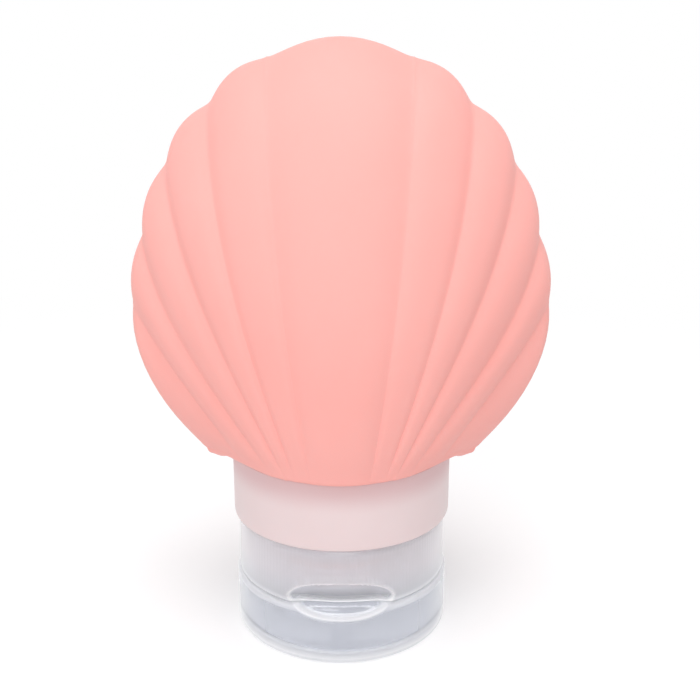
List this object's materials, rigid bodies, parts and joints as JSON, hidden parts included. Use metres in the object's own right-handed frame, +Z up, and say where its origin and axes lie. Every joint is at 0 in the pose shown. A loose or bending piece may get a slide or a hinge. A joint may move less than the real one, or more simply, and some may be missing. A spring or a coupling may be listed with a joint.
{
  "type": "travel squeeze bottle",
  "caption": "Scallop-shaped soft silicone travel bottle that stands upside down on a clear screw cap with a hinged flip lid, a spout and a slit valve.",
  "frame": {"origin": "centre of the flat outer face of the flip lid, on which the bottle stands, under the middle of the part", "axes": "+Z runs up the screw axis from the lid to the top of the shell, +X along the shell's width to the right, +Y to the back, where the lid's hinge is; the thumb notch faces -Y"},
  "size_m": [0.0708, 0.0486, 0.0987],
  "materials": {
    "shell_silicone": "soft matte silicone, salmon pink",
    "frosted_polypropylene": "frosted, faintly translucent, pale pink",
    "clear_polypropylene": "clear to slightly milky, glossy, faint cool grey",
    "white_silicone": "matte, milky white"
  },
  "bodies": {
    "bottle": {"squeeze_body": "shell_silicone", "neck_collar": "frosted_polypropylene", "neck_insert": "frosted_polypropylene"},
    "seal": {"seal_ring": "white_silicone"},
    "cap": {"screw_cap": "clear_polypropylene", "no_drip_valve": "white_silicone", "valve_retainer": "clear_polypropylene", "living_hinge": "clear_polypropylene"},
    "lid": {"flip_lid": "clear_polypropylene"}
  },
  "joints": [
    {"name": "cap_travel", "type": "slide", "parent": "bottle", "child": "seal", "axis": [0, 0, -1], "range_m": [0, 0.0033]},
    {"name": "cap_turn", "type": "hinge", "parent": "seal", "child": "cap", "pos_m": [0, 0, 0.0101], "axis": [0, 0, -1], "range_deg": [0, 540]},
    {"name": "lid_flip", "type": "hinge", "parent": "cap", "child": "lid", "pos_m": [0, 0.01915, 0.00992], "axis": [1, 0, 0], "range_deg": [0, 150]}
  ],
  "couplings": [
    {"joint": "cap_travel", "follows": "cap_turn", "m_per_rad": 0.00035014}
  ]
}
